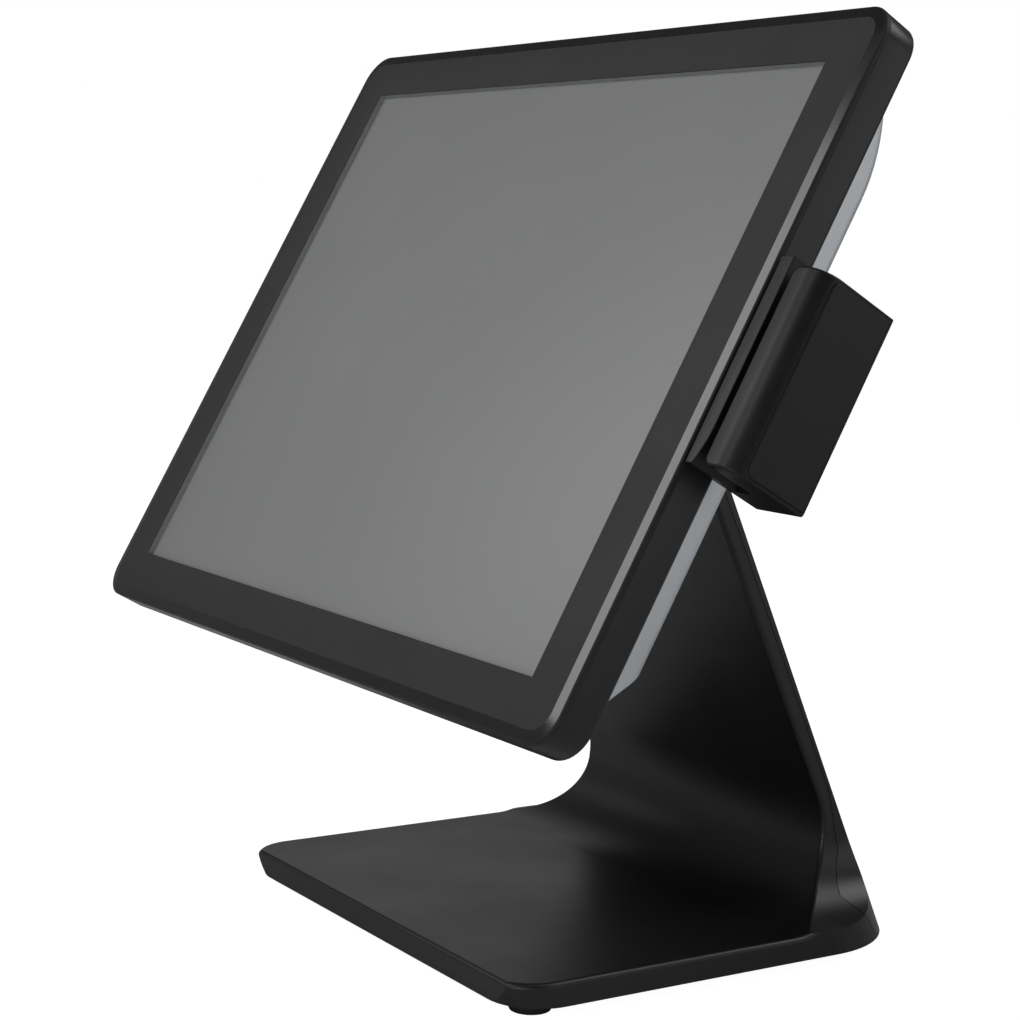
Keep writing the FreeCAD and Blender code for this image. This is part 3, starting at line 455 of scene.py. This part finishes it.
def welded_copy(node):
    shape = bmesh.new()
    shape.from_mesh(frame["nodes"][node].data)
    bmesh.ops.remove_doubles(shape, verts=shape.verts, dist=0.002 * MM)
    bmesh.ops.dissolve_limit(shape, angle_limit=math.radians(0.05), verts=shape.verts,
                             edges=shape.edges)
    return shape


SHARP_TURN = math.radians(38.0)


def soften(node, width_mm, finish=None):
    """Replace a frame node by a copy with its sharp edges rounded."""
    shape = welded_copy(node)
    edges = [edge for edge in shape.edges
             if len(edge.link_faces) == 2 and edge.calc_face_angle(0.0) > SHARP_TURN]
    bmesh.ops.bevel(shape, geom=edges, offset=width_mm * MM, offset_type="OFFSET", affect="EDGES",
                    segments=3, profile=0.5, material=-1, clamp_overlap=True)
    piece = finish_piece(shape, f"{node}_soft", finish or finishes[slot_of[node]], body_of[node])
    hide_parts(node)
    print(piece.name, "edges softened", len(edges), "faces", len(piece.data.polygons))
    return piece


# %% [markdown]
# ## Bezel
# The bezel is one moulding: a flat face round the window, and a rim that slopes gently down to a
# rounded outer edge and is left glossier by the mould.  It starts as a rectangle whose corners are
# bevelled round, is extruded to its wall's height, and an inset that also lifts makes the slope.
# %% Rounded outline, slope and window
BEZEL_RADIUS = 12.5 * MM
RIM_WIDE, RIM_DROP, RIM_ROUND = 4.6 * MM, 0.5 * MM, 0.8 * MM
WINDOW_SIDE, WINDOW_END = 23.0 * MM, 21.0 * MM


def rectangle_loop(shape, x, y, z):
    """A closed rectangular face at one height, between pairs of x and y."""
    made = bmesh.ops.create_grid(shape, x_segments=1, y_segments=1, size=0.5)["verts"]
    bmesh.ops.scale(shape, vec=(x[1] - x[0], y[1] - y[0], 1.0), verts=made)
    bmesh.ops.translate(shape, vec=((x[0] + x[1]) / 2, (y[0] + y[1]) / 2, z), verts=made)
    return made


def make_bezel():
    shape = bmesh.new()
    rectangle_loop(shape, (bezel_low.x, bezel_high.x), (bezel_low.y, bezel_high.y), bezel_low.z)
    bmesh.ops.bevel(shape, geom=shape.verts[:], offset=BEZEL_RADIUS, affect="VERTICES", segments=18,
                    profile=0.5, material=-1)
    back = shape.faces[:][0]
    raised = bmesh.ops.extrude_face_region(shape, geom=[back])
    front = [item for item in raised["geom"] if isinstance(item, bmesh.types.BMFace)][0]
    bmesh.ops.translate(shape, vec=(0, 0, bezel_high.z - bezel_low.z - RIM_DROP), verts=front.verts)
    slope = bmesh.ops.inset_region(shape, faces=[front], thickness=RIM_WIDE, depth=RIM_DROP,
                                   use_even_offset=True)
    for face in slope["faces"]:
        face.material_index = 1
    crest = bezel_high.z - RIM_DROP
    outer_edges = [edge for edge in shape.edges
                   if all(abs(vert.co.z - crest) < 0.001 * MM for vert in edge.verts)]
    bmesh.ops.bevel(shape, geom=outer_edges, offset=RIM_ROUND, affect="EDGES", segments=4,
                    profile=0.5, material=0)
    window = ((bezel_low.x + WINDOW_SIDE, bezel_high.x - WINDOW_SIDE),
              (bezel_low.y + WINDOW_END, bezel_high.y - WINDOW_END))
    bezel_edges = []
    for flat in (front, back):
        rim = list(flat.edges)
        height = flat.calc_center_median().z
        hole = rectangle_loop(shape, *window, height)
        hole_face = hole[0].link_faces[0]
        hole_edges = list(hole_face.edges)
        bmesh.ops.delete(shape, geom=[flat, hole_face], context="FACES_ONLY")
        bmesh.ops.triangle_fill(shape, use_beauty=True, use_dissolve=False, edges=rim + hole_edges)
        bezel_edges.append(hole_edges)
    for face in bmesh.ops.bridge_loops(shape, edges=bezel_edges[0] + bezel_edges[1])["faces"]:
        face.material_index = 2
    bmesh.ops.recalc_face_normals(shape, faces=shape.faces[:])
    bmesh.ops.bevel(shape, geom=bezel_edges[0], offset=0.35 * MM, affect="EDGES", segments=3,
                    profile=0.5, material=0)
    bmesh.ops.transform(shape, matrix=HEAD, verts=shape.verts[:])
    return shape


bezel = finish_piece(make_bezel(), "bezel_moulding", finishes["dark_bezel"], "head",
                      extra=[polished_edge, seal])
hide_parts("front_bezel")
mesh = bezel.data
sharp = mesh.attributes.get("sharp_edge") or mesh.attributes.new("sharp_edge", "BOOLEAN", "EDGE")
faces_at = {}
for face in mesh.polygons:
    for key in face.edge_keys:
        faces_at.setdefault(key, []).append(face)
for edge in mesh.edges:
    touching = faces_at[edge.key]
    if len(touching) == 2 and touching[0].material_index != touching[1].material_index:
        sharp.data[edge.index].value = True
print("bezel faces", len(mesh.polygons),
      "rim faces", sum(face.material_index == 1 for face in mesh.polygons))

# %% [markdown]
# ## Casings, plates and the reader
# These are mouldings, castings and bent plates, so their edges are rounded by a fraction of a
# millimetre, less on thin sheet and more on thick castings.  The reader takes the matt finish.  The
# stand's casting and cover already have rounded edges in the frame, and are shown as they are.
# %% Soften them
for node, width in {
        "rear_housing": 0.4, "rear_casting": 0.5, "head_hinge_plate": 0.5, "stand_hinge_bracket": 0.5,
        "io_bracket": 0.2, "reader_bracket": 0.4, "touch_glass": 0.3, "power_button": 0.2,
        "base_ballast": 0.4}.items():
    soften(node, width)
for node, width in {"reader_lip": 0.3, "reader_body": 0.35, "reader_side_cover": 0.3}.items():
    soften(node, width, finish=reader_finish)

# %% [markdown]
# ## Screws
# Every screw on this object has a round head with a hexagon socket and a plain shank.  One screw is
# turned as a profile, as on a lathe: the head's rounded edge, its underside, the shank and its point.
# The open top of the head is then joined to a six-sided ring, and that ring is pushed down to make the
# socket.  Copies stand where the frame has its screws, so none has to be placed by hand.
# %% Find the separate solids of a node
def islands(node, axes):
    """Lowest and highest corner of each separate solid in a node, measured along tilted axes."""
    shape = welded_copy(node)
    bmesh.ops.transform(shape, matrix=axes.inverted(), verts=shape.verts[:])
    unseen = set(shape.verts)
    boxes = []
    while unseen:
        stack, points = [unseen.pop()], []
        while stack:
            vert = stack.pop()
            points.append(vert.co.copy())
            for edge in vert.link_edges:
                other = edge.other_vert(vert)
                if other in unseen:
                    unseen.discard(other)
                    stack.append(other)
        boxes.append((Vector([min(p[i] for p in points) for i in range(3)]),
                      Vector([max(p[i] for p in points) for i in range(3)])))
    shape.free()
    return boxes


def spun(profile, steps=40):
    """A closed shape turned about z from (radius, height) points given in millimetres."""
    shape = bmesh.new()
    verts = [shape.verts.new((radius * MM, 0.0, height * MM)) for radius, height in profile]
    edges = [shape.edges.new(pair) for pair in zip(verts, verts[1:])]
    bmesh.ops.spin(shape, geom=verts + edges, cent=(0, 0, 0), axis=(0, 0, 1), angle=math.tau,
                   steps=steps)
    bmesh.ops.remove_doubles(shape, verts=shape.verts, dist=0.001 * MM)
    return shape


def repeated(shape, places):
    """One bmesh holding a copy of a shape at each matrix."""
    master = bpy.data.meshes.new("master")
    shape.to_mesh(master)
    shape.free()
    whole = bmesh.new()
    for place in places:
        copy = master.copy()
        copy.transform(place)
        whole.from_mesh(copy)
        bpy.data.meshes.remove(copy)
    bpy.data.meshes.remove(master)
    return whole


print("plate screws", len(islands("plate_screws", HEAD)))

# %% [markdown]
# ### Turning and placing the screws
# The heads of all four kinds face the negative end of their own axis, which is the head's z axis, the
# table's upward axis, or the normal of the leaning upright.
# %% Socket screws
UPRIGHT_LEAN = math.radians(24.5)
UPRIGHT = Matrix.Rotation(UPRIGHT_LEAN, 4, "X")
ALONG_Y = Matrix.Rotation(math.radians(-90), 4, "X")


def socket_screw(head_radius, head_high, shank_radius, length, across_flats):
    """A screw along z whose head's top is at zero; sizes in millimetres."""
    round_off = 0.35 * head_high
    turns = [math.radians(angle) for angle in (0, 30, 60, 90)]
    profile = [(head_radius - round_off + round_off * math.sin(turn), round_off * (1 - math.cos(turn)))
               for turn in turns]
    profile += [(head_radius, head_high), (shank_radius, head_high), (shank_radius, length - 0.4),
                (shank_radius - 0.4, length), (0.0, length)]
    shape = spun(profile)
    open_edges = [edge for edge in shape.edges if edge.is_boundary]
    ring = bmesh.ops.create_circle(shape, cap_ends=False, radius=across_flats / math.sqrt(3) * MM,
                                   segments=6)["verts"]
    ring_edges = list({edge for vert in ring for edge in vert.link_edges})
    bmesh.ops.triangle_fill(shape, use_beauty=True, edges=open_edges + ring_edges)
    sunk = bmesh.ops.extrude_edge_only(shape, edges=ring_edges)["geom"]
    floor_edges = [item for item in sunk if isinstance(item, bmesh.types.BMEdge)]
    floor_verts = [item for item in sunk if isinstance(item, bmesh.types.BMVert)]
    bmesh.ops.translate(shape, vec=(0, 0, 0.65 * head_high * MM), verts=floor_verts)
    bmesh.ops.contextual_create(shape, geom=floor_edges)
    bmesh.ops.recalc_face_normals(shape, faces=shape.faces[:])
    return shape


def place_screws(node, axes, turn, head_high, shank_radius, across_flats):
    """Replace a node's screws by turned ones of the same length and head width."""
    depth = 1 if turn is ALONG_Y else 2
    places = []
    for low, high in islands(node, axes):
        middle = (low + high) / 2
        middle[depth] = low[depth]
        places.append(axes @ Matrix.Translation(middle) @ turn)
    length, head_radius = (high[depth] - low[depth]) / MM, (high.x - low.x) / 2 / MM
    screw = socket_screw(head_radius, head_high, shank_radius, length, across_flats)
    piece = finish_piece(repeated(screw, places), f"{node}_turned", finishes[slot_of[node]],
                         body_of[node])
    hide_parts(node)
    print(piece.name, len(places), "screws, length", round(length, 1), "mm")


NO_TURN = Matrix.Identity(4)
place_screws("plate_screws", HEAD, NO_TURN, 2.2, 2.0, 2.5)
place_screws("housing_screws", HEAD, NO_TURN, 1.3, 1.5, 2.0)
place_screws("ballast_screws", STAND, NO_TURN, 1.8, 2.0, 2.5)
place_screws("bracket_screws", UPRIGHT, ALONG_Y, 2.2, 2.0, 2.5)

# %% [markdown]
# ## Rubber feet
# Each foot is a moulded rubber disc whose underside is a ring round a shallow dish, so it grips the
# counter.  The disc is turned from its profile in one piece.
# %% Turned feet
foot_boxes = islands("rubber_feet", STAND)
foot_high = (foot_boxes[0][1].z - foot_boxes[0][0].z) / MM
foot_radius = (foot_boxes[0][1].x - foot_boxes[0][0].x) / 2 / MM
foot_profile = [
    (0.0, 0.7), (foot_radius - 3.2, 0.7), (foot_radius - 2.4, 0.15), (foot_radius - 2.0, 0.0),
    (foot_radius - 0.9, 0.0), (foot_radius - 0.35, 0.2), (foot_radius, 0.8),
    (foot_radius, foot_high), (0.0, foot_high)]
foot = spun(foot_profile, steps=48)
bmesh.ops.recalc_face_normals(foot, faces=foot.faces[:])
foot_places = [Matrix.Translation(((low.x + high.x) / 2, (low.y + high.y) / 2, low.z))
               for low, high in foot_boxes]
feet = finish_piece(repeated(foot, foot_places), "rubber_feet_turned", finishes["black_rubber"],
                    "stand")
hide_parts("rubber_feet")
print("feet", len(foot_places), "of", round(2 * foot_radius, 1), "mm")

# %% [markdown]
# ## Contacts in the sockets
# Looking into the sockets, the springs and strips that touch the plug show as a row of gold lines.
# Each spring is a bent strip: its side view is drawn as a face and pushed out to its width.  The
# network socket has eight springs, the serial socket ten, the drawer and line sockets six each, and
# each of the two tongues has four flat strips.
# %% Gold contacts
def strip(shape, x, width, run, thickness=0.22):
    """A bent strip of metal; run is its centre line as (y, z) points in millimetres."""
    lower = [shape.verts.new((x * MM, y * MM, (z - thickness / 2) * MM)) for y, z in run]
    upper = [shape.verts.new((x * MM, y * MM, (z + thickness / 2) * MM)) for y, z in reversed(run)]
    side = shape.faces.new(lower + upper)
    pushed = bmesh.ops.extrude_face_region(shape, geom=[side])["geom"]
    moved = [item for item in pushed if isinstance(item, bmesh.types.BMVert)]
    bmesh.ops.translate(shape, vec=(width * MM, 0, 0), verts=moved)


contacts = bmesh.new()
for node, count, pitch in (("network_port", 8, 1.02), ("serial_port", 10, 1.02),
                           ("drawer_port", 6, 1.02), ("line_port", 6, 1.02)):
    low, high = (corner / MM for corner in local_box(node, HEAD))
    mouth, middle, roof = low.y, (low.x + high.x) / 2, high.z - 2.1
    for number in range(count):
        left = middle + (number - (count - 1) / 2) * pitch - 0.2
        bend = [(mouth + 2.0, roof - 0.3), (mouth + 4.5, roof - 0.5), (mouth + 11.4, roof - 3.4)]
        strip(contacts, left, 0.4, bend)
low, high = (corner / MM for corner in local_box("usb_ports", HEAD))
for left in (low.x + 0.9, low.x + 15.4):
    for number in range(4):
        flat = [(low.y + 1.4, low.z + 7.0), (low.y + 10.5, low.z + 7.0)]
        strip(contacts, left + 2.1 + number * 2.5, 1.1, flat, 0.16)
bmesh.ops.recalc_face_normals(contacts, faces=contacts.faces[:])
bmesh.ops.transform(contacts, matrix=HEAD, verts=contacts.verts[:])
contact_faces = len(contacts.faces)
finish_piece(contacts, "socket_contacts", gold, "head")
print("contact faces", contact_faces)
